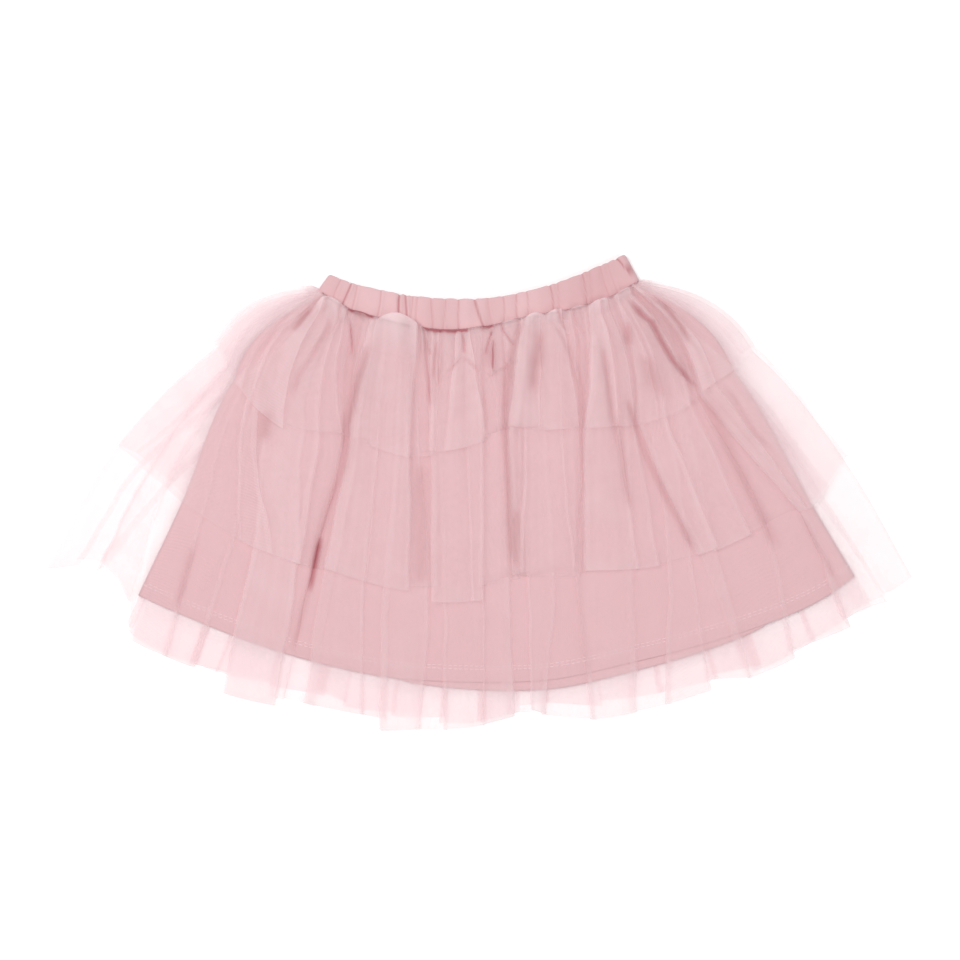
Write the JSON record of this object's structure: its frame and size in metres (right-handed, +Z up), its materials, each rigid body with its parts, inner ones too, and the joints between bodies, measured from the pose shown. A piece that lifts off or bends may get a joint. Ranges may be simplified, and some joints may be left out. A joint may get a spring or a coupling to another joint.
{
  "type": "tulle skirt",
  "caption": "Child's tiered tulle skirt laid flat, with a gathered elastic waistband over a flared jersey lining.",
  "frame": {"origin": "on the surface that the skirt lies on, below the middle of its bounding box", "axes": "+Y from the hems to the waist, +X to the right as seen from above, +Z up through the front of the skirt"},
  "size_m": [0.648, 0.3556, 0.0212],
  "materials": {
    "waistband_jersey": "matt cotton jersey, dusty pink",
    "lining_jersey": "matt cotton jersey, dusty pink",
    "tulle": "sheer soft tulle, pale pink, faint sheen"
  },
  "bodies": {
    "root": {"waistband": "waistband_jersey", "lining_front": "lining_jersey", "lining_back": "lining_jersey", "tulle_short_tier": "tulle", "tulle_mid_tier": "tulle", "tulle_long_tier": "tulle"}
  },
  "joints": []
}
